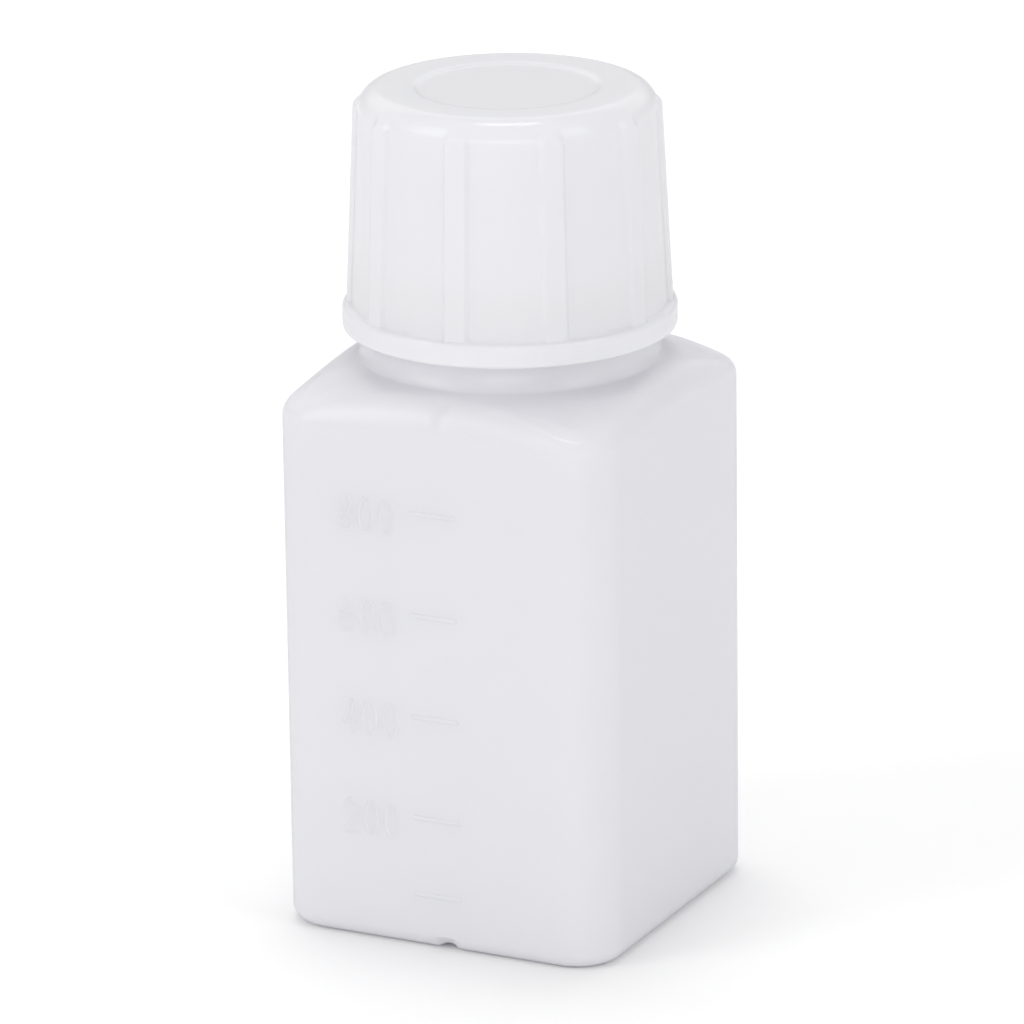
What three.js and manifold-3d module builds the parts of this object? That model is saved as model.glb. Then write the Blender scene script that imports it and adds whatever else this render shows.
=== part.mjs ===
// A square one-litre bottle with a tall ribbed screw cap. Millimetres, +Z up, origin on the base's centre.
// The bottle is blow-moulded in one piece, the cap is moulded in one piece, and a soft ring seals between them.
import * as THREE from 'three';
import { mergeVertices } from 'three/addons/utils/BufferGeometryUtils.js';
import Module from 'manifold-3d';

const wasm = await Module();
wasm.setup();

// Driving dimensions of the bottle
const SIDE = 91;
const CORNER_RADIUS = 12.1;
const WALL = 1.3;
const BASE_FILLET = 4;
const BASE_RECESS_INSET = 8;
const BASE_RECESS_SLOPE = 4;
const BASE_RECESS_DEPTH = 2.4;
const EDGE_FILLET = 6.6;
const CORNER_EDGE_FILLET = 2.5;
const NECK_ROOT_Z = 144.2;
const SHOULDER_FALL = 0.37;
const SHOULDER_CURVE = 0.0008;
const NECK_RADIUS = 36.2;
const NECK_HEIGHT = 20.8;
const NECK_WALL = 1.6;
const NECK_FILLET = 1.5;

// The parting line runs down the front and back faces and across the base, a little right of the middle
const PARTING_X = 2.2;
const GROOVE_WIDTH = 3.2;
const GROOVE_DEPTH = 1.2;
const GROOVE_TOP = 3;
const DIMPLE_HALF_WIDTH = 1.1;
const DIMPLE_HALF_LENGTH = 4.2;
const DIMPLE_DEPTH = 0.7;

// Graduation marks on the front face: four at 200 ml steps and one at 50 ml
const MARK_STEP = 26.5;
const TOP_MARK_Z = 114;
const NUMBERED_MARKS = 4;
const LOWEST_MARK_Z = 14.2;
const MARK_LEFT = -5.7;
const MARK_RIGHT = 6.3;
const MARK_THICKNESS = 1.1;
const MARK_HEIGHT = 0.5;

// Driving dimensions of the cap
const CAP_GAP = 7.3;
const CAP_HEIGHT = 60.9;
const CAP_RADIUS_LOW = 40;
const CAP_RADIUS_HIGH = 37.1;
const CAP_TOP_FILLET = 5.6;
const CAP_WALL = 2;
const RIM_RADIUS = 41.8;
const RIM_HEIGHT = 6;
const RIM_ROUND = 1;
const TOP_DISC_RADIUS = 23.5;
const TOP_DISC_DEPTH = 0.5;
const RIB_COUNT = 10;
const RIB_WIDTH = 6;
const RIB_PROUD = 1;
const RIB_END_BELOW_TOP = 3.2;
const RIB_TURN = 6.6;
const THREAD_ROOM = 2;

// The soft ring, and the clearance that it keeps to the lip and the cap
const FIT = 0.3;
const RING_THICKNESS = 2;
const RING_REACH = 1.5;

// Facets
const ARC_STEPS = 7;
const FLAT_STEPS = 8;
const FILLET_STEPS = 5;
const DOME_STEPS = 5;
const TURN_STEPS = 72;

// Places that follow from the driving dimensions
const HALF = SIDE / 2;
const LIP_Z = NECK_ROOT_Z + NECK_HEIGHT;
const RING_Z = LIP_Z + FIT;
const RING_OUTER = NECK_RADIUS + THREAD_ROOM - FIT;
const RING_INNER = NECK_RADIUS - NECK_WALL - RING_REACH;
const STEP_Z = RING_Z + RING_THICKNESS + FIT;
const RIM_Z = NECK_ROOT_Z + CAP_GAP;
const CAP_TOP_Z = RIM_Z + CAP_HEIGHT;

const natural = { bottle: 0xe9e9ee, cap: 0xeeedf1, seal: 0xf2f1ee };

// One ring of points: a square with round corners, pulled in by inset, counter-clockwise from the +X face.
function squareRing(inset) {
  const half = HALF - inset;
  const radius = Math.max(CORNER_RADIUS - 0.7 * inset, 4);
  const reach = half - radius;
  const points = [];
  for (let quarter = 0; quarter < 4; quarter += 1) {
    const turn = (quarter * Math.PI) / 2;
    const corner = new THREE.Vector2(reach, reach).rotateAround(new THREE.Vector2(), turn);
    for (let step = 0; step <= ARC_STEPS; step += 1) {
      const angle = turn + (step / ARC_STEPS) * (Math.PI / 2);
      points.push(new THREE.Vector2(corner.x + radius * Math.cos(angle), corner.y + radius * Math.sin(angle)));
    }
    const along = new THREE.Vector2(-2 * reach, 0).rotateAround(new THREE.Vector2(), turn);
    const start = points[points.length - 1];
    for (let step = 1; step < FLAT_STEPS; step += 1) {
      points.push(start.clone().addScaledVector(along, step / FLAT_STEPS));
    }
  }
  return points;
}

// The shoulder is a shallow dome of revolution, so each flat face ends in an arch, highest at its middle.
function shoulderHeight(radius) {
  const out = radius - NECK_RADIUS - NECK_FILLET;
  return NECK_ROOT_Z - SHOULDER_FALL * out - SHOULDER_CURVE * out * out;
}

// The edge between a face and the shoulder is rounded more at mid-face than at the corners.
function edgeFillet(point) {
  const middle = HALF;
  const corner = Math.SQRT2 * (HALF - CORNER_RADIUS) + CORNER_RADIUS;
  const share = THREE.MathUtils.clamp((point.length() - middle) / (corner - middle), 0, 1);
  return EDGE_FILLET + (CORNER_EDGE_FILLET - EDGE_FILLET) * share * share;
}

function flatRing(inset, height) {
  return squareRing(inset).map((point) => new THREE.Vector3(point.x, point.y, height));
}

// Skin of the bottle, pulled in by skin: 0 is the outside, WALL is the inside. The base's recess follows it.
function bottleSkin(skin, neckRadius, topZ) {
  const rings = [];
  const recessFlat = BASE_RECESS_INSET + BASE_RECESS_SLOPE;
  rings.push(flatRing(recessFlat + skin, BASE_RECESS_DEPTH + skin));
  rings.push(flatRing(BASE_RECESS_INSET + skin, skin));
  for (let step = 0; step <= FILLET_STEPS; step += 1) {
    const angle = (step / FILLET_STEPS) * (Math.PI / 2);
    const round = BASE_FILLET - skin;
    rings.push(flatRing(skin + round * (1 - Math.sin(angle)), skin + round * (1 - Math.cos(angle))));
  }
  const outline = squareRing(skin);
  for (let step = 0; step <= FILLET_STEPS; step += 1) {
    const angle = (step / FILLET_STEPS) * (Math.PI / 2);
    rings.push(outline.map((edge) => {
      const round = edgeFillet(edge);
      const scale = 1 - (round * (1 - Math.cos(angle))) / edge.length();
      const drop = round * (1 - Math.sin(angle));
      const point = edge.clone().multiplyScalar(scale);
      return new THREE.Vector3(point.x, point.y, shoulderHeight(point.length()) - drop - skin);
    }));
  }
  const brow = rings[rings.length - 1];
  const neckStart = neckRadius + NECK_FILLET;
  for (let step = 1; step <= DOME_STEPS; step += 1) {
    rings.push(brow.map((edge) => {
      const reach = Math.hypot(edge.x, edge.y);
      const radius = THREE.MathUtils.lerp(reach, neckStart, step / DOME_STEPS);
      const scale = radius / reach;
      return new THREE.Vector3(edge.x * scale, edge.y * scale, shoulderHeight(radius) - skin);
    }));
  }
  const rootZ = shoulderHeight(neckStart) - skin;
  for (const [radius, height] of [[neckRadius, rootZ + NECK_FILLET], [neckRadius, topZ]]) {
    rings.push(brow.map((edge) => {
      const scale = radius / Math.hypot(edge.x, edge.y);
      return new THREE.Vector3(edge.x * scale, edge.y * scale, height);
    }));
  }
  return loft(rings);
}

// A closed body through rings of equal count, lowest first, with a fan over each end.
function loft(rings) {
  const count = rings[0].length;
  const positions = [];
  const index = [];
  for (const ring of rings) {
    for (const point of ring) positions.push(point.x, point.y, point.z);
  }
  for (let ring = 0; ring < rings.length - 1; ring += 1) {
    for (let i = 0; i < count; i += 1) {
      const a = ring * count + i;
      const b = ring * count + ((i + 1) % count);
      index.push(a, b, b + count, a, b + count, a + count);
    }
  }
  const last = (rings.length - 1) * count;
  const low = positions.length / 3;
  positions.push(0, 0, rings[0][0].z);
  positions.push(0, 0, rings[rings.length - 1][0].z);
  for (let i = 0; i < count; i += 1) {
    const next = (i + 1) % count;
    index.push(low, next, i);
    index.push(low + 1, last + i, last + next);
  }
  const geometry = new THREE.BufferGeometry();
  geometry.setAttribute('position', new THREE.Float32BufferAttribute(positions, 3));
  geometry.setIndex(index);
  return geometry;
}

function toSolid(geometry) {
  const bare = geometry.clone();
  bare.deleteAttribute('normal');
  bare.deleteAttribute('uv');
  const merged = mergeVertices(bare, 1e-4);
  const vertProperties = new Float32Array(merged.attributes.position.array);
  const triVerts = new Uint32Array(merged.index.array);
  return new wasm.Manifold(new wasm.Mesh({ numProp: 3, vertProperties, triVerts }));
}

function toGeometry(solid) {
  const mesh = solid.getMesh();
  const geometry = new THREE.BufferGeometry();
  geometry.setAttribute('position', new THREE.BufferAttribute(new Float32Array(mesh.vertProperties), 3));
  geometry.setIndex(new THREE.BufferAttribute(new Uint32Array(mesh.triVerts), 1));
  geometry.computeVertexNormals();
  return geometry;
}

// The groove across the base is a strip under the base's own profile, raised by depth.
// Its arms end on the fillet, GROOVE_TOP above the floor.
function baseGroove(width, depth) {
  const far = HALF + 5;
  const inner = HALF - depth;
  const round = BASE_FILLET - depth;
  const shape = new THREE.Shape();
  shape.moveTo(-far, -5);
  shape.lineTo(far, -5);
  shape.lineTo(far, GROOVE_TOP);
  const rise = Math.acos(THREE.MathUtils.clamp(1 - (GROOVE_TOP - depth) / round, -1, 1));
  shape.lineTo(inner - round + round * Math.sin(rise), GROOVE_TOP);
  shape.absarc(inner - round, depth + round, round, rise - Math.PI / 2, -Math.PI / 2, true);
  shape.absarc(round - inner, depth + round, round, -Math.PI / 2, -Math.PI / 2 - rise, true);
  shape.lineTo(-far, GROOVE_TOP);
  const geometry = new THREE.ExtrudeGeometry(shape, { depth: width, bevelEnabled: false, curveSegments: 6 });
  geometry.translate(0, 0, -width / 2);
  geometry.rotateX(Math.PI / 2);
  geometry.rotateZ(Math.PI / 2);
  geometry.translate(PARTING_X, 0, 0);
  return geometry;
}

// The dimple where the parting line crosses the rounded top edge of the front face, sloped as the edge is.
function edgeDimple() {
  const inset = EDGE_FILLET * (1 - Math.SQRT1_2);
  const geometry = new THREE.SphereGeometry(1, 12, 10);
  geometry.scale(DIMPLE_HALF_WIDTH, DIMPLE_DEPTH, DIMPLE_HALF_LENGTH);
  geometry.rotateX(-Math.PI / 4);
  geometry.translate(PARTING_X, -HALF + inset, shoulderHeight(HALF) - inset);
  return geometry;
}

// A raised mark on the front face, with its foot sunk into the wall.
function graduationMark(height) {
  const foot = WALL / 2;
  const geometry = new THREE.BoxGeometry(MARK_RIGHT - MARK_LEFT, MARK_HEIGHT + foot, MARK_THICKNESS);
  geometry.translate((MARK_LEFT + MARK_RIGHT) / 2, -HALF - (MARK_HEIGHT - foot) / 2, height);
  return geometry;
}

function makeBottle() {
  let outside = toSolid(bottleSkin(0, NECK_RADIUS, LIP_Z));
  outside = outside.subtract(toSolid(baseGroove(GROOVE_WIDTH, GROOVE_DEPTH)));
  outside = outside.subtract(toSolid(edgeDimple()));
  for (let mark = 0; mark < NUMBERED_MARKS; mark += 1) {
    outside = outside.add(toSolid(graduationMark(TOP_MARK_Z - mark * MARK_STEP)));
  }
  outside = outside.add(toSolid(graduationMark(LOWEST_MARK_Z)));
  let inside = toSolid(bottleSkin(WALL, NECK_RADIUS - NECK_WALL, LIP_Z + 1));
  inside = inside.subtract(toSolid(baseGroove(GROOVE_WIDTH + 2 * WALL, GROOVE_DEPTH + WALL)));
  return toGeometry(outside.subtract(inside));
}

// Outer radius of the cap's plain wall at a height.
function capRadius(height) {
  const share = (height - RIM_Z) / (CAP_TOP_Z - RIM_Z);
  return THREE.MathUtils.lerp(CAP_RADIUS_LOW, CAP_RADIUS_HIGH, share);
}

// Adds a quarter-round to a lathe profile, from angle start to angle end about a centre.
function addArc(profile, x, y, radius, start, end, steps) {
  for (let step = 0; step <= steps; step += 1) {
    const angle = THREE.MathUtils.lerp(start, end, step / steps);
    profile.push(new THREE.Vector2(x + radius * Math.cos(angle), y + radius * Math.sin(angle)));
  }
}

function turned(profile) {
  const geometry = new THREE.LatheGeometry(profile, TURN_STEPS);
  geometry.rotateX(Math.PI / 2);
  return geometry;
}

// The cap's wall and rounded top edge from a height up to the top, moved out by proud.
function addWall(profile, fromZ, proud) {
  const filletZ = CAP_TOP_Z - CAP_TOP_FILLET;
  profile.push(new THREE.Vector2(capRadius(fromZ) + proud, fromZ));
  const centre = capRadius(filletZ) - CAP_TOP_FILLET;
  addArc(profile, centre, filletZ, CAP_TOP_FILLET + proud, 0, Math.PI / 2, 7);
}

function capOutside() {
  const profile = [new THREE.Vector2(0, RIM_Z)];
  const topZ = RIM_Z + RIM_HEIGHT;
  const discZ = CAP_TOP_Z - TOP_DISC_DEPTH;
  addArc(profile, RIM_RADIUS - RIM_ROUND, RIM_Z + RIM_ROUND, RIM_ROUND, -Math.PI / 2, 0, 2);
  addArc(profile, RIM_RADIUS - RIM_ROUND, topZ - RIM_ROUND, RIM_ROUND, 0, Math.PI / 2, 2);
  addWall(profile, topZ, 0);
  profile.push(new THREE.Vector2(TOP_DISC_RADIUS, CAP_TOP_Z));
  profile.push(new THREE.Vector2(TOP_DISC_RADIUS - TOP_DISC_DEPTH, discZ));
  profile.push(new THREE.Vector2(0, discZ));
  return toSolid(turned(profile));
}

// The cap's hollow: room for the thread below, then a step that holds the seal ring, then the cup.
function capInside() {
  const threadRadius = NECK_RADIUS + THREAD_ROOM;
  const roofZ = CAP_TOP_Z - TOP_DISC_DEPTH - CAP_WALL;
  const fillet = CAP_TOP_FILLET - CAP_WALL;
  const filletZ = roofZ - fillet;
  const profile = [new THREE.Vector2(0, RIM_Z - 1), new THREE.Vector2(threadRadius, RIM_Z - 1)];
  profile.push(new THREE.Vector2(threadRadius, STEP_Z));
  profile.push(new THREE.Vector2(capRadius(STEP_Z) - CAP_WALL, STEP_Z));
  addArc(profile, capRadius(filletZ) - CAP_WALL - fillet, filletZ, fillet, 0, Math.PI / 2, 4);
  profile.push(new THREE.Vector2(0, roofZ));
  return toSolid(turned(profile));
}

// A turned sleeve RIB_PROUD thicker than the wall. The grip ribs are the strips of it inside the rib bars.
function ribSleeve() {
  const low = RIM_Z + RIM_HEIGHT / 2;
  const profile = [new THREE.Vector2(0, low)];
  addWall(profile, low, RIB_PROUD);
  profile.push(new THREE.Vector2(0, CAP_TOP_Z + RIB_PROUD));
  return toSolid(turned(profile));
}

// An upright bar with a round upper end, from inside the wall out past the rim.
function ribBar(rib) {
  const half = RIB_WIDTH / 2;
  const high = CAP_TOP_Z - RIB_END_BELOW_TOP - half;
  const inner = CAP_RADIUS_HIGH - CAP_WALL;
  const shape = new THREE.Shape();
  shape.moveTo(-half, RIM_Z);
  shape.lineTo(half, RIM_Z);
  shape.absarc(0, high, half, 0, Math.PI, false);
  const depth = RIM_RADIUS + 1 - inner;
  const geometry = new THREE.ExtrudeGeometry(shape, { depth, bevelEnabled: false, curveSegments: 8 });
  geometry.rotateX(Math.PI / 2);
  geometry.translate(0, -inner, 0);
  geometry.rotateZ(THREE.MathUtils.degToRad(RIB_TURN + (rib * 360) / RIB_COUNT));
  return toSolid(geometry);
}

function makeCap() {
  let bars = ribBar(0);
  for (let rib = 1; rib < RIB_COUNT; rib += 1) bars = bars.add(ribBar(rib));
  const outside = capOutside().add(bars.intersect(ribSleeve()));
  return toGeometry(outside.subtract(capInside()));
}

function makeSealRing() {
  const top = RING_Z + RING_THICKNESS;
  const profile = [
    new THREE.Vector2(RING_INNER, RING_Z),
    new THREE.Vector2(RING_OUTER, RING_Z),
    new THREE.Vector2(RING_OUTER, top),
    new THREE.Vector2(RING_INNER, top),
    new THREE.Vector2(RING_INNER, RING_Z),
  ];
  return toGeometry(toSolid(turned(profile)));
}

function addPiece(group, name, geometry, color, roughness) {
  const mesh = new THREE.Mesh(geometry, new THREE.MeshStandardMaterial({ color, roughness, metalness: 0 }));
  mesh.name = name;
  group.add(mesh);
}

const squareBottle = new THREE.Group();
addPiece(squareBottle, 'bottle', makeBottle(), natural.bottle, 0.45);
addPiece(squareBottle, 'cap', makeCap(), natural.cap, 0.3);
addPiece(squareBottle, 'seal_ring', makeSealRing(), natural.seal, 0.6);

export default squareBottle;
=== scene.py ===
"""Square one-litre bottle with a tall ribbed screw cap: the fine surfaces, finishes and studio.

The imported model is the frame. Each moulding is remade here with smooth closed surfaces of the same size: the
bottle with its thread, its groove and its raised marks, the cap with its ribs and thread, and the seal ring.
"""

import bpy
import numpy as np
from mathutils import Matrix, Vector


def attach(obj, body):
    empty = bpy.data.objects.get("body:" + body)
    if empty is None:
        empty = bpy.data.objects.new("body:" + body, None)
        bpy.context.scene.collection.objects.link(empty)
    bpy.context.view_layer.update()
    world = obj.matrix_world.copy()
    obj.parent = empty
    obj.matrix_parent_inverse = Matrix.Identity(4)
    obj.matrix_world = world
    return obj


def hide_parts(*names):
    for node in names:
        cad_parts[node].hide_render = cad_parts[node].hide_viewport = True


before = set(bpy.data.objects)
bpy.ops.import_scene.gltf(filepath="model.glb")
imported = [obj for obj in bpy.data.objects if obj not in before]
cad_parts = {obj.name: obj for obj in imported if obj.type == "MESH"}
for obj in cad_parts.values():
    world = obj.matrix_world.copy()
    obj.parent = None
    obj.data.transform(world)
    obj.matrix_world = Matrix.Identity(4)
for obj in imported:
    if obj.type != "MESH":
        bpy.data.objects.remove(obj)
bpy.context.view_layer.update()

MM = 0.001
MM_PER_METRE = 1000.0

# Bottle, in millimetres. Its corner radius loses CORNER_LOSS of every inset, down to SMALLEST_CORNER
SIDE = 91.0
CORNER_RADIUS = 12.1
CORNER_LOSS = 0.7
SMALLEST_CORNER = 4.0
WALL = 1.3
BASE_FILLET = 4.0
BASE_RECESS_INSET = 8.0
BASE_RECESS_SLOPE = 4.0
BASE_RECESS_DEPTH = 2.4
EDGE_FILLET = 6.6
CORNER_EDGE_FILLET = 2.5
NECK_ROOT_Z = 144.2
SHOULDER_START = 1.5
SHOULDER_FALL = 0.37
SHOULDER_CURVE = 0.0008
NECK_RADIUS = 36.2
NECK_HEIGHT = 20.8
NECK_WALL = 1.6
FLARE_WIDTH = 2.3
FLARE_HEIGHT = 6.0
FLARE_ANGLE = np.arctan(SHOULDER_FALL * FLARE_WIDTH / FLARE_HEIGHT)
LIP_ROUND = 0.6
LIP_Z = NECK_ROOT_Z + NECK_HEIGHT

# The dome's crease, a nearly square line. CREASE_ROOM is what its rows take up on either side; it is left out
# within CREASE_CLEAR of the brow and reaches its full height CREASE_FADE further in
CREASE_REACH = 39.2
CREASE_POWER = 18
CREASE_RAISED = 0.4
CREASE_ROUND = 0.2
CREASE_ROOM = 1.4
CREASE_CLEAR = 1.0
CREASE_FADE = 3.5

# Parting line: a groove across the base and a dimple on the front face's top edge
PARTING_X = 2.2
GROOVE_HALF_WIDTH = 1.6
GROOVE_DEPTH = 1.2
GROOVE_TOP = 3.0
GROOVE_SIDE_SOFT = 0.35
GROOVE_TOP_SOFT = 0.5
GROOVE_START_Y = 14.0
GROOVE_RUN = 10.0
GROOVE_LESS_AT_SIDE = 0.4
DIMPLE_HALF_WIDTH = 1.1
DIMPLE_HALF_LENGTH = 4.2
DIMPLE_DEPTH = 0.6
DIMPLE_STEEPNESS = 1.3
DIMPLE_ZONE = 8.0
INSIDE_MARK_SHARE = 0.9

# Rows of the bottle's mesh. ROWS_TO_BROW are shares of the way from the crease to the brow, and
# ROWS_ABOUT_CREASE are millimetres outside the crease
FIRST_RING_REACH = 6.0
RECESS_MARGIN = 0.5
MIDDLE_ROWS = 8
RECESS_ROWS = 9
FILLET_ROWS = 14
WALL_ROWS = 26
BROW_ROWS = 16
ROWS_TO_BROW = (0.8, 0.6, 0.45)
ROWS_ABOUT_CREASE = (0.4, 0.25, 0.1, 0.0, -0.1, -0.25, -0.4, -0.8)
DOME_ROWS = 15
FLARE_ROWS = 13
THREADED_ROWS = 76
PLAIN_NECK_ROWS = 12
LIP_ROWS = 5
ARC_POINTS = 24
FLAT_POINTS = 44

# Raised volume marks on the front face. A section is half width, half depth and how far its middle is sunk
MARK_STEP = 26.5
TOP_MARK_Z = 114.0
LOWEST_MARK_Z = 14.2
MARK_LEFT = -5.7
MARK_RIGHT = 6.3
MARK_NUMBERS = ("800", "600", "400", "200")
MARK_SECTION = (0.7, 0.6, 0.3)
STROKE_SECTION = (0.5, 0.42, 0.25)
DIGIT_WIDTH = 3.6
DIGIT_HEIGHT = 8.8
DIGIT_PITCH = 5.7
DIGITS_LEFT = -25.4
DIGITS_BELOW_MARK = 2.0
BAR_SPACING = 0.35
BAR_SIDES = 12

# A bar's domed end, as shares of its half width: each ring's size, and how far it stands off the path's end
END_SIZES = np.array([0.0, 0.5, 0.87, 1.0])
END_OFFSETS = np.array([1.0, 0.87, 0.5, 0.0])
SMALLEST_END = 0.05

# Thread, on the neck's outside and the cap's inside. Its flanks end THREAD_FOOT half widths from the helix
THREAD_LEAD = 4.2
THREAD_TURNS = 1.6
THREAD_HEIGHT = 1.25
THREAD_HALF_WIDTH = 0.85
THREAD_FOOT = 1.25
THREAD_STEEPNESS = 1.5
THREAD_START_Z = LIP_Z - 9.6
THREAD_RUNOUT = 0.07

# Cap
RIM_Z = NECK_ROOT_Z + 7.3
CAP_TOP_Z = RIM_Z + 60.9
CAP_RADIUS_LOW = 40.0
CAP_RADIUS_HIGH = 37.1
CAP_TOP_FILLET = 5.6
CAP_WALL = 2.0
RIM_RADIUS = 41.8
RIM_HEIGHT = 6.0
RIM_ROUND = 1.0
MOUTH_ROUND = 0.5
LEDGE_FILLET = 0.8
TOP_DISC_RADIUS = 23.5
TOP_DISC_DEPTH = 0.5
DISC_EDGE = 1.6
DISC_Z = CAP_TOP_Z - TOP_DISC_DEPTH
ROOF_Z = DISC_Z - CAP_WALL
THREAD_ROOM = 2.0

# Ribs. RIB_TURN is the first one's angle; the flanks grow softer over RIB_END_RUN of the round upper end
RIB_COUNT = 10
RIB_PITCH = 360.0 / RIB_COUNT
RIB_WIDTH = 6.0
RIB_PROUD = 1.0
RIB_END_BELOW_TOP = 3.2
RIB_EDGE = 1.5
RIB_END_SOFTER = 0.9
RIB_END_RUN = 2.0
RIB_TURN = 6.6

# Rows of the cap's mesh, outside from the top down and inside from the foot up. They are closer together in
# the bands below the top edge and above the rim
DISC_RINGS = (0.5, 4.0, 9.0, 14.0, 18.0, 21.0)
UPPER_BAND = 4.0
LEDGE_BAND = 2.0
DISC_EDGE_ROWS = 8
TOP_ROWS = 8
TOP_ROUND_ROWS = 26
UPPER_ROWS = 12
TAPER_ROWS = 25
LEDGE_ROWS = 30
RIM_ROWS = 6
RIM_ROUND_ROWS = 7
FOOT_ROWS = 5
MOUTH_ROWS = 4
CAP_THREAD_ROWS = 52
STEP_ROWS = 4
INNER_TAPER_ROWS = 20
INNER_ROUND_ROWS = 10
ROOF_ROWS = 9

# Points around the cap. FLANK is half the width of a rib's flank in degrees, and FLANK_SHARES deal out a
# rib's points over its two flanks and the stretches between them
POINTS_PER_RIB = 40
FLANK = 1.2
FLANK_SHARES = (0.0, 0.1, 0.4, 0.6, 0.9, 1.0)

# Seal ring
FIT = 0.3
RING_THICKNESS = 2.0
RING_REACH = 1.5
RING_Z = LIP_Z + FIT
RING_OUTER = NECK_RADIUS + THREAD_ROOM - FIT
RING_INNER = NECK_RADIUS - NECK_WALL - RING_REACH
RING_POWER = 0.35
RING_AROUND = 160
RING_SECTION_POINTS = 32
STEP_Z = RING_Z + RING_THICKNESS + FIT

# Finishes: the tone drifts over DRIFT_SPREAD waves, and these are the mix node's colour sockets
DRIFT_SPREAD = 2.2
MIX_COLOUR_A = 6
MIX_COLOUR_B = 7
MIX_RESULT = 2

# The photograph's camera, fitted to the outline: it stands to the right of the front face and looks down
CAMERA_TURN = 26.35
CAMERA_LIFT = 17.36
CAMERA_AWAY = 1.859
CAMERA_LENS = 260.6
CAMERA_ROLL = 0.75
CAMERA_CLIP = 20.0
AIM_Z = 0.11375
AIM_PIXEL = (512.15, 466.6)
IMAGE_PIXELS = 1024
SENSOR = 36.0
FLOOR_REACH = 6.0


# Mesh helpers

def add_mesh(name, points, *face_groups):
    """A smooth-shaded mesh object at the origin, from points in millimetres and arrays of faces."""
    faces = sum((group.tolist() for group in face_groups), [])
    mesh = bpy.data.meshes.new(name)
    mesh.from_pydata((points * MM).tolist(), [], faces)
    mesh.update()
    mesh.polygons.foreach_set("use_smooth", np.ones(len(mesh.polygons), dtype=bool))
    piece = bpy.data.objects.new(name, mesh)
    bpy.context.scene.collection.objects.link(piece)
    return piece


def loft_faces(rows, count):
    """Quads between neighbouring rings of count points, ring after ring, each ring closed on itself."""
    row = np.arange(rows - 1)[:, None] * count
    here = np.arange(count)[None, :]
    after = (here + 1) % count
    quads = np.stack([row + here, row + after, row + count + after, row + count + here], axis=-1)
    return quads.reshape(-1, 4)


def loft(grid, start, end):
    """Points, quads and triangles of a closed body: rings grid[row, around], with a pole beyond each end."""
    rows, count = grid.shape[:2]
    points = np.concatenate([grid.reshape(-1, 3), [start, end]])
    here = np.arange(count)
    after = (here + 1) % count
    pole = np.full(count, rows * count)
    last = (rows - 1) * count
    low_fan = np.stack([pole, after, here], axis=-1)
    high_fan = np.stack([pole + 1, last + here, last + after], axis=-1)
    return points, loft_faces(rows, count), np.concatenate([low_fan, high_fan])


def join_parts(parts):
    """Several bodies' points, quads and triangles as one."""
    used = np.cumsum([0] + [len(points) for points, _, _ in parts])
    points = np.concatenate([part[0] for part in parts])
    quads = np.concatenate([part[1] + shift for part, shift in zip(parts, used)])
    triangles = np.concatenate([part[2] + shift for part, shift in zip(parts, used)])
    return points, quads, triangles


def smooth(value):
    """0 below 0, 1 above 1, and the cubic 3v^2 - 2v^3 between."""
    share = np.clip(value, 0.0, 1.0)
    return share * share * (3.0 - 2.0 * share)


def spread(start, end, count):
    """count values from start up to, but not including, end."""
    return np.linspace(start, end, count, endpoint=False)


def column(values):
    """Values as a column, one for each row of a mesh."""
    return np.asarray(values, dtype=float)[:, None]


def with_height(outline, height):
    """Joins an outline (rows, around, 2) with heights that broadcast over it."""
    heights = np.broadcast_to(height, outline.shape[:2])
    return np.concatenate([outline, heights[..., None]], axis=-1)


# Bottle

def outline_parts(arc_points, flat_points):
    """Directions of a rounded square's outline.

    Each point is a corner centre, sliding from corner to corner along the flats, plus a radius at an angle.
    """
    centre, angle = [], []
    corners = np.array([[1, 1], [-1, 1], [-1, -1], [1, -1]], dtype=float)
    for quarter in range(4):
        turn = np.linspace(0.0, 1.0, arc_points)
        centre.append(np.repeat(corners[quarter][None], arc_points, axis=0))
        angle.append((quarter + turn) * np.pi / 2)
        along = np.linspace(0.0, 1.0, flat_points + 2)[1:-1, None]
        centre.append(corners[quarter] * (1 - along) + corners[(quarter + 1) % 4] * along)
        angle.append(np.full(flat_points, (quarter + 1) * np.pi / 2))
    return np.concatenate(centre), np.concatenate(angle)


CENTRES, ANGLES = outline_parts(ARC_POINTS, FLAT_POINTS)


def square_outline(inset):
    """The rounded square pulled in by each inset: shape (insets, around, 2)."""
    inset = np.atleast_1d(inset)[:, None, None]
    radius = np.maximum(CORNER_RADIUS - CORNER_LOSS * inset, SMALLEST_CORNER)
    reach = SIDE / 2 - inset - radius
    direction = np.stack([np.cos(ANGLES), np.sin(ANGLES)], axis=-1)[None]
    return reach * CENTRES[None] + radius * direction


def shoulder_height(radius):
    """A shallow dome of revolution: it falls by a slope and a square term outside the neck's root."""
    out = radius - NECK_RADIUS - SHOULDER_START
    return NECK_ROOT_Z - SHOULDER_FALL * out - SHOULDER_CURVE * out * out


def thread_ridge(turn, height, start):
    """Height of a helical ridge at angle turn (radians) and height: a rounded bump across the helix line."""
    ridge = np.zeros(np.broadcast(turn, height).shape)
    share = np.mod(turn / (2 * np.pi), 1.0)
    for lap in range(int(np.ceil(THREAD_TURNS))):
        wound = share + lap
        across = np.abs(height - start - THREAD_LEAD * wound) / THREAD_HALF_WIDTH
        runout = smooth(wound / THREAD_RUNOUT) * smooth((THREAD_TURNS - wound) / THREAD_RUNOUT)
        ridge = np.maximum(ridge, runout * smooth(THREAD_STEEPNESS * (THREAD_FOOT - across)))
    return ridge * THREAD_HEIGHT


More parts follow.
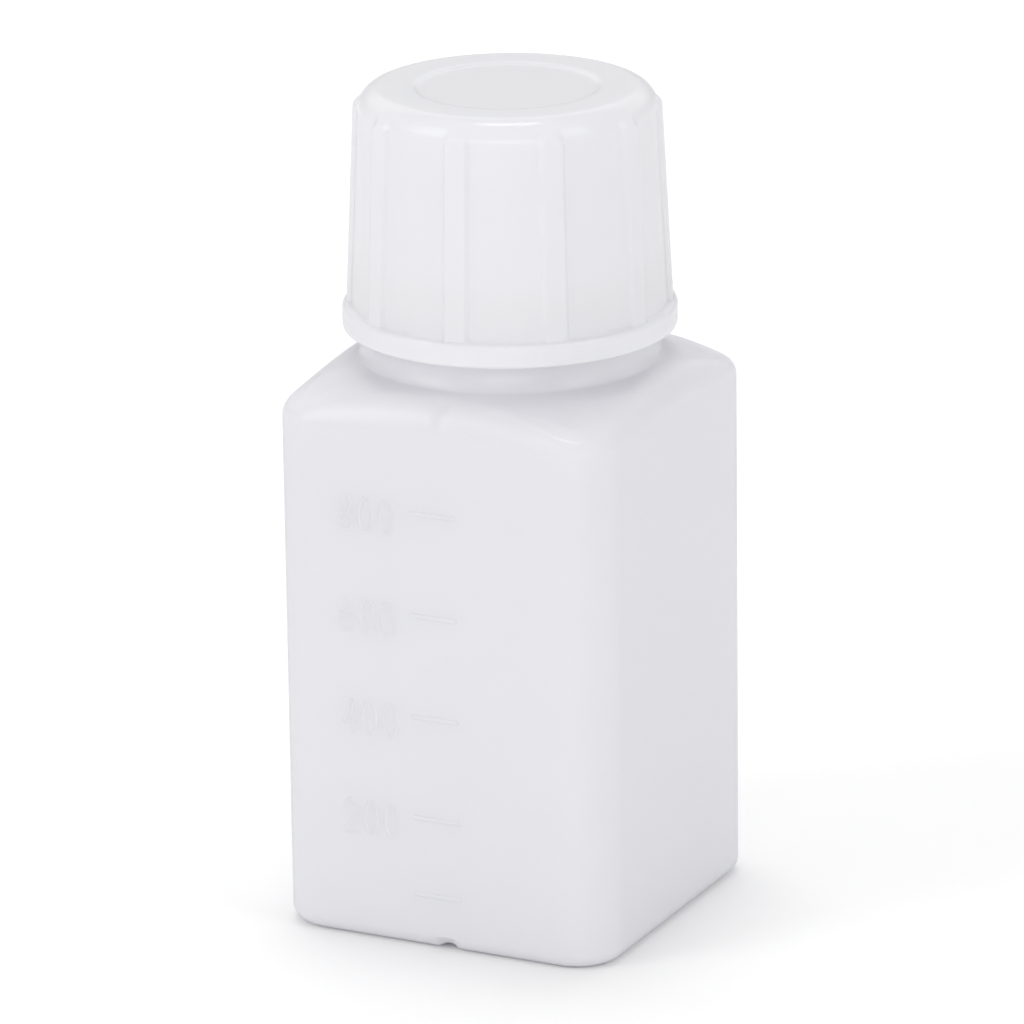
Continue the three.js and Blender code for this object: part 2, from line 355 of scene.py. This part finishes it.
def base_rows(skin):
    """The base from its middle outward: the recess's flat, its cubic slope, and a quarter-round fillet."""
    recess = np.linspace(1.0, 0.0, RECESS_ROWS)
    inset = BASE_RECESS_INSET + recess * BASE_RECESS_SLOPE
    rise = BASE_RECESS_DEPTH * smooth(recess)
    middle = np.linspace(SIDE / 2 - FIRST_RING_REACH, inset[0] + RECESS_MARGIN, MIDDLE_ROWS)
    angle = np.linspace(0.0, np.pi / 2, FILLET_ROWS)
    rounding = BASE_FILLET - skin
    turned_in = skin + rounding * (1 - np.sin(angle))
    return [
        with_height(square_outline(middle + skin), BASE_RECESS_DEPTH + skin),
        with_height(square_outline(inset + skin), column(rise + skin)),
        with_height(square_outline(turned_in), column(skin + rounding * (1 - np.cos(angle)))),
    ]


def side_rows(edge, reach, skin):
    """The upright faces and the brow above them, and the radius at which the brow ends.

    The brow is a quarter round in each upright plane through the axis, laid on the dome. Its radius goes from
    EDGE_FILLET at mid-side to CORNER_EDGE_FILLET at the corners, with the square of the way there.
    """
    corner = np.sqrt(2.0) * (SIDE / 2 - CORNER_RADIUS) + CORNER_RADIUS
    share = np.clip((reach - SIDE / 2) / (corner - SIDE / 2), 0.0, 1.0)
    fillet = EDGE_FILLET + (CORNER_EDGE_FILLET - EDGE_FILLET) * share ** 2
    angle = column(np.linspace(0.0, np.pi / 2, BROW_ROWS))
    pulled = 1.0 - fillet * (1 - np.cos(angle)) / reach
    radius = pulled * reach
    height = shoulder_height(radius) - fillet * (1 - np.sin(angle)) - skin
    foot = np.linspace(BASE_FILLET, height[0], WALL_ROWS)[1:-1]
    upright = with_height(np.repeat(edge[None], len(foot), axis=0), foot)
    return [upright, with_height(edge[None] * pulled[..., None], height)], radius[-1]


def dome_rows(unit, brow, neck_start, skin):
    """The dome from the brow in to the neck's flare: shoulder_height with a low crease on it.

    The crease follows a superellipse of power CREASE_POWER. Its height falls in a straight slope to either
    side of a round top, and fades out where the dome leaves no room for it, at mid-side.
    """
    squareness = (np.abs(unit) ** CREASE_POWER).sum(axis=1) ** (1 / CREASE_POWER)
    square = (CREASE_REACH - skin) / squareness
    crease = np.minimum(square, np.maximum(brow - CREASE_ROOM, 0.5 * (brow + neck_start)))
    room = smooth((brow - CREASE_CLEAR - square) / CREASE_FADE)
    tight = np.clip(np.minimum(brow - crease, crease - neck_start) / CREASE_ROOM, 0.0, 1.0)
    outer = column(ROWS_TO_BROW) * (brow - crease) + crease
    middle = crease + tight * column(ROWS_ABOUT_CREASE)
    inner = neck_start + np.linspace(1.0, 0.0, DOME_ROWS)[1:, None] * (middle[-1] - neck_start)
    radius = np.concatenate([outer, middle, inner])
    away = np.sqrt((radius - crease) ** 2 + CREASE_ROUND ** 2) - CREASE_ROUND
    reach_out = np.where(radius > crease, brow - crease, crease - neck_start)
    raised = CREASE_RAISED * room * np.clip(1.0 - away / reach_out, 0.0, 1.0)
    return [with_height(unit[None] * radius[..., None], shoulder_height(radius) + raised - skin)]


def neck_rows(unit, neck_radius, neck_start, skin, threaded):
    """The flare, part of an ellipse that leaves the dome along its slope, and the upright neck."""
    angle = column(np.linspace(FLARE_ANGLE, np.pi / 2, FLARE_ROWS)[1:])
    radius = neck_radius + FLARE_WIDTH * (1 - np.sin(angle))
    root = shoulder_height(neck_start) - skin - FLARE_HEIGHT * (1 - np.cos(FLARE_ANGLE))
    flare = with_height(unit[None] * radius[..., None], root + FLARE_HEIGHT * (1 - np.cos(angle)))
    rows = THREADED_ROWS if threaded else PLAIN_NECK_ROWS
    height = column(np.linspace(root + FLARE_HEIGHT, LIP_Z - LIP_ROUND, rows)[1:])
    radius = np.full((len(height), len(unit)), neck_radius)
    if threaded:
        turn = np.arctan2(unit[:, 1], unit[:, 0])[None]
        radius = radius + thread_ridge(turn, height, THREAD_START_Z)
    return [flare, with_height(unit[None] * radius[..., None], height)]


def bottle_skin(skin, neck_radius, threaded):
    """Rings of one skin of the bottle, pulled in by skin, from the base's middle up to the lip.

    The second value is each ring point's direction from the axis, as a unit vector.
    """
    edge = square_outline(skin)[0]
    reach = np.hypot(edge[:, 0], edge[:, 1])
    unit = edge / reach[:, None]
    neck_start = neck_radius + FLARE_WIDTH * (1 - np.sin(FLARE_ANGLE))
    sides, brow = side_rows(edge, reach, skin)
    rows = base_rows(skin) + sides + dome_rows(unit, brow, neck_start, skin)
    rows += neck_rows(unit, neck_radius, neck_start, skin, threaded)
    return np.concatenate(rows), unit


def mould_marks(points, depth_share):
    """Presses the parting line's groove and dimple into one of the bottle's skins.

    The groove lifts the base in a strip about PARTING_X, except near the middle, and pulls in the base
    fillet there. The dimple sinks an oval with a cubic edge into the front face's rounded top edge, at a
    slope of 45 degrees.
    """
    x, y, z = points[..., 0], points[..., 1], points[..., 2]
    diagonal = np.sqrt(0.5)
    strip = smooth((GROOVE_HALF_WIDTH + GROOVE_SIDE_SOFT - np.abs(x - PARTING_X)) / (2 * GROOVE_SIDE_SOFT))
    low = smooth((GROOVE_TOP + GROOVE_TOP_SOFT - z) / (2 * GROOVE_TOP_SOFT))
    outward = smooth((np.abs(y) - GROOVE_START_Y) / GROOVE_RUN)
    groove = GROOVE_DEPTH * strip * (low * outward) * depth_share
    inset = EDGE_FILLET * (1 - diagonal)
    middle_y = -SIDE / 2 + inset
    middle_z = shoulder_height(SIDE / 2) - inset
    along = ((y - middle_y) + (z - middle_z)) * diagonal
    oval = ((x - PARTING_X) / DIMPLE_HALF_WIDTH) ** 2 + (along / DIMPLE_HALF_LENGTH) ** 2
    near = (y < 0) & (np.abs(z - middle_z) < DIMPLE_ZONE)
    sunk = DIMPLE_DEPTH * smooth(DIMPLE_STEEPNESS * (1.0 - oval))
    dimple = np.where(near, sunk, 0.0) * depth_share
    side = smooth((np.abs(y) - (SIDE / 2 - BASE_FILLET)) / BASE_FILLET)
    y_new = y - np.sign(y) * groove * side + dimple * diagonal
    z_new = z + groove * (1 - GROOVE_LESS_AT_SIDE * side) - dimple * diagonal
    return np.stack([x, y_new, z_new], axis=-1)


def make_bottle():
    """The blow-moulded shell and its marks: outside skin up, over the round lip, and the inside skin down."""
    outside, unit = bottle_skin(0.0, NECK_RADIUS, threaded=True)
    inside, _ = bottle_skin(WALL, NECK_RADIUS - NECK_WALL, threaded=False)
    angle = np.linspace(0.0, np.pi / 2, LIP_ROWS)[1:]
    outer = NECK_RADIUS - LIP_ROUND * (1 - np.cos(angle))
    inner = NECK_RADIUS - NECK_WALL + LIP_ROUND * (1 - np.cos(angle))
    height = LIP_Z - LIP_ROUND + LIP_ROUND * np.sin(angle)
    lip_radius = np.concatenate([outer, inner[::-1]])[:, None, None]
    lip = with_height(unit[None] * lip_radius, column(np.concatenate([height, height[::-1]])))
    outside = mould_marks(outside, 1.0)
    inside = mould_marks(inside, INSIDE_MARK_SHARE)
    grid = np.concatenate([outside, lip, inside[::-1]])
    start = [0.0, 0.0, BASE_RECESS_DEPTH]
    end = [0.0, 0.0, BASE_RECESS_DEPTH + WALL]
    return add_mesh("bottle_moulding", *join_parts([loft(grid, start, end)] + volume_marks()))


# Raised numbers and marks

def arc(cx, cz, rx, rz, start, end, count):
    """Points of an ellipse's arc, angles in degrees."""
    turn = np.radians(np.linspace(start, end, count))
    return np.stack([cx + rx * np.cos(turn), cz + rz * np.sin(turn)], axis=-1)


def digit_strokes(digit):
    """Centre lines of a plain digit in a box 1 wide and 1 high, as a list of point arrays."""
    if digit == "0":
        return [arc(0.5, 0.5, 0.5, 0.5, 90, 450, 33)]
    if digit == "8":
        return [arc(0.5, 0.75, 0.42, 0.25, -90, 270, 25), arc(0.5, 0.26, 0.5, 0.26, 90, 450, 29)]
    if digit == "6":
        tail = arc(0.95, 0.29, 0.95, 0.71, 180, 112, 12)
        return [arc(0.5, 0.29, 0.5, 0.29, 180, 540, 29), tail]
    if digit == "4":
        return [np.array([[0.74, 0.0], [0.74, 1.0], [0.0, 0.3], [1.0, 0.3]])]
    hook = arc(0.5, 0.72, 0.48, 0.28, 170, -35, 18)
    return [np.concatenate([hook, [[0.0, 0.0], [1.0, 0.0]]])]


def sweep(path, half_width, half_depth):
    """A bar of elliptic section along a path in a plane of constant y, with domed ends.

    Each ring is the path's point plus half_width times a cosine to the side, and half_depth times a sine
    along y.
    """
    step = np.gradient(path, axis=0)
    step /= np.linalg.norm(step, axis=1, keepdims=True)
    across = np.array([0.0, 1.0, 0.0])
    side = np.cross(across, step)
    between = len(path) - 2
    ends = len(END_SIZES)
    size = np.concatenate([END_SIZES, np.ones(between), END_SIZES[::-1]])
    offset = np.concatenate([-END_OFFSETS, np.zeros(between), END_OFFSETS[::-1]])
    take = np.repeat(np.arange(len(path)), [ends] + [1] * between + [ends])
    centre = path[take] + step[take] * column(offset * half_width)
    turn = spread(0.0, 2 * np.pi, BAR_SIDES)
    flat = np.cos(turn)[None, :, None] * side[take][:, None] * half_width
    ring = flat + np.sin(turn)[None, :, None] * across * half_depth
    return centre[:, None] + ring * np.maximum(size, SMALLEST_END)[:, None, None]


def even_path(corners, spacing):
    """Resamples a bent line so that its points are about spacing apart, with three points or more."""
    lengths = np.linalg.norm(np.diff(corners, axis=0), axis=1)
    run = np.concatenate([[0.0], np.cumsum(lengths)])
    places = np.linspace(0.0, run[-1], max(int(run[-1] / spacing), 2) + 1)
    return np.stack([np.interp(places, run, corners[:, axis]) for axis in range(3)], axis=-1)


def volume_marks():
    """The marks and numbers: rounded bars sunk into the front face, so that low ridges show."""
    lines = []
    heights = [TOP_MARK_Z - MARK_STEP * row for row in range(len(MARK_NUMBERS))]
    ends = np.array([[MARK_LEFT, 0.0], [MARK_RIGHT, 0.0]])
    for height in heights + [LOWEST_MARK_Z]:
        lines.append((ends + [0.0, height], MARK_SECTION))
    for height, number in zip(heights, MARK_NUMBERS):
        corner = [DIGITS_LEFT, height - DIGITS_BELOW_MARK - DIGIT_HEIGHT / 2]
        for place, digit in enumerate(number):
            for stroke in digit_strokes(digit):
                flat = stroke * [DIGIT_WIDTH, DIGIT_HEIGHT] + corner + [place * DIGIT_PITCH, 0.0]
                lines.append((flat, STROKE_SECTION))
    ridges = []
    for flat, (half_width, half_depth, sunk) in lines:
        path = np.stack([flat[:, 0], np.full(len(flat), sunk - SIDE / 2), flat[:, 1]], axis=-1)
        grid = sweep(even_path(path, BAR_SPACING), half_width, half_depth)
        ridges.append(loft(grid, grid[0].mean(axis=0), grid[-1].mean(axis=0)))
    return ridges


# Cap

def cap_radius(height):
    """The plain wall's radius, a straight taper from the rim's foot to the top."""
    share = (height - RIM_Z) / (CAP_TOP_Z - RIM_Z)
    return CAP_RADIUS_LOW + (CAP_RADIUS_HIGH - CAP_RADIUS_LOW) * share


def rib_turns():
    """Angles around the cap, closer together at the two flanks of every rib."""
    half = np.degrees(RIB_WIDTH / 2 / CAP_RADIUS_LOW)
    other = RIB_PITCH - half
    knots = [0.0, half - FLANK, half + FLANK, other - FLANK, other + FLANK, RIB_PITCH]
    within = np.interp(spread(0.0, 1.0, POINTS_PER_RIB), FLANK_SHARES, knots)
    turns = [within + RIB_TURN + RIB_PITCH * rib - 90.0 for rib in range(RIB_COUNT)]
    return np.radians(np.concatenate(turns))


def rib_height(turn, along):
    """How far a rib stands out: full inside a bar with a round upper end, falling off over RIB_EDGE."""
    pitch = 2 * np.pi / RIB_COUNT
    offset = np.mod(turn - np.radians(RIB_TURN - 90.0) + pitch / 2, pitch) - pitch / 2
    side = offset * cap_radius(np.minimum(along, CAP_TOP_Z))
    end = CAP_TOP_Z - RIB_END_BELOW_TOP - RIB_WIDTH / 2
    over = np.maximum(along - end, 0.0)
    away = np.hypot(side, over)
    soft = RIB_EDGE * (1 + RIB_END_SOFTER * smooth(over / RIB_END_RUN))
    return RIB_PROUD * smooth((RIB_WIDTH / 2 - away) / soft + 0.5)


def rim_radius(height):
    """The rim band's radius: upright, a round shoulder, a short fall and a hollow fillet onto the wall."""
    top = RIM_Z + RIM_HEIGHT
    round_z = np.clip((height - (top - RIM_ROUND)) / RIM_ROUND, 0.0, 1.0)
    body = RIM_RADIUS - RIM_ROUND * (1 - np.sqrt(1 - round_z ** 2))
    lip_z = np.clip((height - RIM_Z) / RIM_ROUND, 0.0, 1.0)
    body = body - RIM_ROUND * (1 - np.sqrt(1 - (1 - lip_z) ** 2))
    fall = np.clip((height - top) / LEDGE_FILLET, 0.0, 1.0)
    ledge = RIM_RADIUS - RIM_ROUND - cap_radius(top)
    fillet = cap_radius(height) + ledge * (1 - np.sqrt(1 - (1 - fall) ** 2))
    return np.where(height <= top, body, fillet)


def cap_outside(turn):
    """Radii and heights of the cap's outer rows, from the disc's middle down to the rim's foot.

    The disc rises by a cubic to the top, which runs into a quarter round and a straight taper. Ribs stand
    out of both, and below them the rim's profile holds wherever it is the wider.
    """
    share = column(np.linspace(0.0, 1.0, DISC_EDGE_ROWS))
    fillet_z = CAP_TOP_Z - CAP_TOP_FILLET
    centre = cap_radius(fillet_z) - CAP_TOP_FILLET
    angle = column(np.linspace(np.pi / 2, 0.0, TOP_ROUND_ROWS))
    edge = CAP_TOP_FILLET + rib_height(turn, fillet_z + CAP_TOP_FILLET * angle)
    top = RIM_Z + RIM_HEIGHT
    height = column(np.concatenate([
        np.linspace(fillet_z, fillet_z - UPPER_BAND, UPPER_ROWS)[1:],
        np.linspace(fillet_z - UPPER_BAND, top + LEDGE_BAND, TAPER_ROWS)[1:],
        np.linspace(top + LEDGE_BAND, top - RIM_ROUND, LEDGE_ROWS)[1:],
        np.linspace(top - RIM_ROUND, RIM_Z + RIM_ROUND, RIM_ROWS)[1:],
        RIM_Z + RIM_ROUND * (1 - np.sin(np.linspace(0.0, np.pi / 2, RIM_ROUND_ROWS)[1:])),
    ]))
    wall = cap_radius(height) + rib_height(turn, height)
    return [
        (column(DISC_RINGS), DISC_Z),
        (TOP_DISC_RADIUS - DISC_EDGE * (1 - share), DISC_Z + TOP_DISC_DEPTH * smooth(share)),
        (column(np.linspace(TOP_DISC_RADIUS, centre, TOP_ROWS)[1:-1]), CAP_TOP_Z),
        (centre + edge * np.cos(angle), fillet_z + edge * np.sin(angle)),
        (np.maximum(wall, rim_radius(height)), height),
    ]


def cap_inside(turn):
    """Radii and heights of the cap's inner rows, from the rim's foot up to the roof's middle.

    Foot, rounded mouth, threaded wall, the step over the seal ring, tapering wall, quarter round and roof.
    """
    thread_radius = NECK_RADIUS + THREAD_ROOM
    mouth = column(np.linspace(np.pi / 2, 0.0, MOUTH_ROWS)[1:])
    threaded = column(np.linspace(RIM_Z + MOUTH_ROUND, STEP_Z, CAP_THREAD_ROWS)[1:])
    inner_thread = thread_ridge(turn, threaded, THREAD_START_Z + THREAD_LEAD / 2)
    step_radius = cap_radius(STEP_Z) - CAP_WALL
    rounding = CAP_TOP_FILLET - CAP_WALL
    round_z = ROOF_Z - rounding
    upright = column(np.linspace(STEP_Z, round_z, INNER_TAPER_ROWS)[1:])
    angle = column(np.linspace(0.0, np.pi / 2, INNER_ROUND_ROWS)[1:])
    centre = cap_radius(round_z) - CAP_WALL - rounding
    return [
        (column(np.linspace(RIM_RADIUS - RIM_ROUND, thread_radius + MOUTH_ROUND, FOOT_ROWS)[1:]), RIM_Z),
        (thread_radius + MOUTH_ROUND * (1 - np.cos(mouth)), RIM_Z + MOUTH_ROUND * (1 - np.sin(mouth))),
        (thread_radius - inner_thread, threaded),
        (column(np.linspace(thread_radius, step_radius, STEP_ROWS)[1:]), STEP_Z),
        (cap_radius(upright) - CAP_WALL, upright),
        (centre + rounding * np.cos(angle), round_z + rounding * np.sin(angle)),
        (column(np.linspace(centre, DISC_RINGS[0], ROOF_ROWS)[1:]), ROOF_Z),
    ]


def make_cap():
    """The cap's shell: every row of its outside and inside as a ring about the axis, lofted into one body."""
    turn = rib_turns()[None]
    unit = np.stack([np.cos(turn), np.sin(turn)], axis=-1)
    rows = []
    for radius, height in cap_outside(turn) + cap_inside(turn):
        radius = np.broadcast_to(radius, (len(radius), turn.size))
        rows.append(with_height(unit * radius[..., None], height))
    grid = np.concatenate(rows)[::-1]
    return add_mesh("cap_moulding", *loft(grid, [0.0, 0.0, ROOF_Z], [0.0, 0.0, DISC_Z]))


# Seal ring

def squared(wave):
    """A cosine or sine drawn towards plus or minus 1 by a power, which squares up the circle they make."""
    return np.sign(wave) * np.abs(wave) ** RING_POWER


def make_seal_ring():
    """A flat ring with rounded corners: a superellipse section turned about the axis."""
    turn = spread(0.0, 2 * np.pi, RING_AROUND)
    angle = column(spread(0.0, 2 * np.pi, RING_SECTION_POINTS))
    middle = (RING_OUTER + RING_INNER) / 2
    radius = middle + squared(np.cos(angle)) * (RING_OUTER - RING_INNER) / 2
    x = radius * np.cos(turn)
    y = radius * np.sin(turn)
    z = np.broadcast_to(RING_Z + RING_THICKNESS / 2 + squared(np.sin(angle)) * RING_THICKNESS / 2, x.shape)
    grid = np.stack([x, y, z], axis=-1)
    faces = loft_faces(len(grid) + 1, len(turn)) % (len(grid) * len(turn))
    return add_mesh("seal_ring_soft", grid.reshape(-1, 3), faces)


# Finishes

def srgb(code):
    """An sRGB hex colour as linear RGBA, by the standard's two-part curve."""
    value = np.array([int(code[i:i + 2], 16) for i in (1, 3, 5)]) / 255.0
    linear = np.where(value <= 0.04045, value / 12.92, ((value + 0.055) / 1.055) ** 2.4)
    return (*linear.tolist(), 1.0)


def add_node(tree, kind, links=None, **settings):
    """Adds one node; settings are its properties or socket values, links map its inputs to outputs."""
    node = tree.nodes.new(kind)
    for name, value in settings.items():
        if name in node.inputs:
            node.inputs[name].default_value = value
        else:
            setattr(node, name, value)
    for name, output in (links or {}).items():
        tree.links.new(output, node.inputs[name])
    return node


def new_material(name):
    """An empty node material and its output node."""
    material = bpy.data.materials.new(name)
    material.use_nodes = True
    material.node_tree.nodes.clear()
    output = material.node_tree.nodes.new("ShaderNodeOutputMaterial")
    return material, material.node_tree, output


def add_noise(tree, place, size_mm, detail):
    """A noise texture in the piece's own space, with features about size_mm across."""
    scale = MM_PER_METRE / size_mm
    return add_node(tree, "ShaderNodeTexNoise", {"Vector": place}, Scale=scale, Detail=detail)


def moulded_plastic(name, light, dark, roughness, through,
                    wave_mm, wave_height_mm, grain_mm, grain_height_mm):
    """Milky moulded plastic: the share through of the light passes the wall, the tone drifts slightly from
    light to dark, and the surface has the mould's slow waves and a fine grain."""
    material, tree, output = new_material(name)
    place = add_node(tree, "ShaderNodeTexCoord").outputs["Object"]
    drift = add_noise(tree, place, DRIFT_SPREAD * wave_mm, 2.0)
    tone = add_node(tree, "ShaderNodeMix", {"Factor": drift.outputs["Fac"]}, data_type="RGBA")
    tone.inputs[MIX_COLOUR_A].default_value = srgb(light)
    tone.inputs[MIX_COLOUR_B].default_value = srgb(dark)
    colour = tone.outputs[MIX_RESULT]
    waves = add_noise(tree, place, wave_mm, 1.5)
    grain = add_noise(tree, place, grain_mm, 3.0)
    slow = add_node(tree, "ShaderNodeBump", {"Height": waves.outputs["Fac"]},
                    Strength=1.0, Distance=wave_height_mm * MM)
    fine = add_node(tree, "ShaderNodeBump",
                    {"Height": grain.outputs["Fac"], "Normal": slow.outputs["Normal"]},
                    Strength=1.0, Distance=grain_height_mm * MM)
    normal = fine.outputs["Normal"]
    shader = add_node(tree, "ShaderNodeBsdfPrincipled", {"Base Color": colour, "Normal": normal},
                      Roughness=roughness, IOR=1.5)
    glow = add_node(tree, "ShaderNodeBsdfTranslucent", {"Color": colour, "Normal": normal})
    both = add_node(tree, "ShaderNodeMixShader")
    both.inputs[0].default_value = through
    tree.links.new(shader.outputs["BSDF"], both.inputs[1])
    tree.links.new(glow.outputs["BSDF"], both.inputs[2])
    tree.links.new(both.outputs["Shader"], output.inputs["Surface"])
    return material


# Natural polyethylene, blow-moulded: milky, satin, with the slow waves of an uneven wall
bottle_plastic = moulded_plastic(
    "natural polyethylene, blow-moulded", light="#f8f8fb", dark="#f6f6f9", roughness=0.24, through=0.40,
    wave_mm=26.0, wave_height_mm=0.10, grain_mm=0.9, grain_height_mm=0.004)
# Natural polypropylene, injection-moulded: as milky, but smoother and glossier
cap_plastic = moulded_plastic(
    "natural polypropylene, injection-moulded", light="#fafafc", dark="#f9f9fb", roughness=0.16, through=0.36,
    wave_mm=30.0, wave_height_mm=0.05, grain_mm=0.7, grain_height_mm=0.002)
# Foamed polyethylene: dull, with hardly any waves and a coarser relief in its grain
seal_foam = moulded_plastic(
    "foamed polyethylene, die-cut", light="#f2f1ee", dark="#eae9e5", roughness=0.7, through=0.05,
    wave_mm=12.0, wave_height_mm=0.02, grain_mm=0.5, grain_height_mm=0.02)


def dress(piece, material, slot, body, *nodes):
    """Gives a piece its finish and its body, and hides the solids that it stands for. The slot is not used."""
    piece.data.materials.append(material)
    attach(piece, body)
    if nodes:
        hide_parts(*nodes)


dress(make_bottle(), bottle_plastic, "bottle_plastic", "bottle_body", "bottle")
dress(make_cap(), cap_plastic, "cap_plastic", "cap_body", "cap")
dress(make_seal_ring(), seal_foam, "seal_foam", "seal", "seal_ring")


# Studio

def seen_from(turn, lift, away, aim):
    """A place at azimuth turn (degrees right of the front face) and elevation lift, away metres from aim."""
    turn, lift = np.radians([turn, lift])
    side = Vector((np.sin(turn) * np.cos(lift), -np.cos(turn) * np.cos(lift), np.sin(lift)))
    return Vector(aim) + side * away


def add_lamp(name, place, size, radiance):
    """A rectangular lamp. Its power is pi times its area times its radiance, so a nearer or smaller one
    stays as bright to the eye."""
    data = bpy.data.lights.new(name, "AREA")
    data.shape = "RECTANGLE"
    data.size, data.size_y = size
    data.energy = np.pi * size[0] * size[1] * radiance
    lamp = bpy.data.objects.new(name, data)
    lamp.location = place
    bpy.context.scene.collection.objects.link(lamp)
    return lamp


def add_softbox(name, turn, lift, away, size, radiance):
    """A lamp that faces the bottle, turn degrees to the camera's right and lift degrees up."""
    aim = Vector((0.0, 0.0, AIM_Z))
    lamp = add_lamp(name, seen_from(CAMERA_TURN + turn, lift, away, aim), size, radiance)
    lamp.rotation_euler = (aim - lamp.location).to_track_quat("-Z", "Y").to_euler()


def add_backdrop_light(behind, height, size, radiance):
    """A lamp over the floor behind the bottle, facing straight down, that clears the backdrop to white."""
    place = seen_from(CAMERA_TURN + 180.0, 0.0, behind, (0.0, 0.0, height))
    lamp = add_lamp("backdrop_light", place, size, radiance)
    lamp.rotation_euler = (0.0, 0.0, np.radians(CAMERA_TURN))


def add_camera():
    """The photograph's camera: a long lens, turned so that the aim falls on its pixel, and rolled."""
    data = bpy.data.cameras.new("camera")
    data.lens = CAMERA_LENS
    data.sensor_width = SENSOR
    data.clip_end = CAMERA_CLIP
    camera = bpy.data.objects.new("camera", data)
    aim = Vector((0.0, 0.0, AIM_Z))
    place = seen_from(CAMERA_TURN, CAMERA_LIFT, CAMERA_AWAY, aim)
    look = (aim - place).to_track_quat("-Z", "Y").to_matrix()
    focal = CAMERA_LENS / SENSOR * IMAGE_PIXELS
    right = (AIM_PIXEL[0] - IMAGE_PIXELS / 2) / focal
    down = (AIM_PIXEL[1] - IMAGE_PIXELS / 2) / focal
    nudge = Matrix.Rotation(np.arctan(-down), 3, "X").inverted() @ Matrix.Rotation(np.arctan(right), 3, "Y")
    roll = Matrix.Rotation(np.radians(-CAMERA_ROLL), 3, "Z")
    camera.matrix_world = Matrix.Translation(place) @ (look @ roll @ nudge).to_4x4()
    bpy.context.scene.collection.objects.link(camera)
    bpy.context.scene.camera = camera


def add_floor():
    """A wide pale floor, matt, at height 0, where the bottle stands."""
    mesh = bpy.data.meshes.new("floor")
    signs = [(-1, -1), (1, -1), (1, 1), (-1, 1)]
    corners = [(x * FLOOR_REACH, y * FLOOR_REACH, 0.0) for x, y in signs]
    mesh.from_pydata(corners, [], [(0, 1, 2, 3)])
    floor = bpy.data.objects.new("floor", mesh)
    bpy.context.scene.collection.objects.link(floor)
    material, tree, output = new_material("pale paper, matt")
    shader = add_node(tree, "ShaderNodeBsdfPrincipled", Roughness=0.9)
    shader.inputs["Base Color"].default_value = srgb("#fcfcfc")
    shader.inputs["Specular IOR Level"].default_value = 0.1
    tree.links.new(shader.outputs["BSDF"], output.inputs["Surface"])
    mesh.materials.append(material)


def add_world(colour, strength):
    """An even pale surround."""
    world = bpy.data.worlds.new("studio")
    world.use_nodes = True
    background = world.node_tree.nodes["Background"]
    background.inputs["Color"].default_value = srgb(colour)
    background.inputs["Strength"].default_value = strength
    bpy.context.scene.world = world


bpy.context.scene.view_settings.view_transform = "Standard"
add_camera()
add_floor()
add_world("#ffffff", strength=0.68)
add_softbox("softbox_top", turn=180.0, lift=82.0, away=4.8, size=(1.7, 1.3), radiance=6.0)
add_softbox("softbox_left", turn=-66.0, lift=28.0, away=4.5, size=(1.7, 2.9), radiance=2.5)
add_softbox("softbox_right", turn=58.0, lift=28.0, away=4.5, size=(1.3, 2.9), radiance=2.2)
add_softbox("softbox_front", turn=-4.0, lift=5.0, away=4.5, size=(3.0, 1.0), radiance=3.1)
add_backdrop_light(behind=2.4, height=1.3, size=(4.5, 2.6), radiance=0.65)
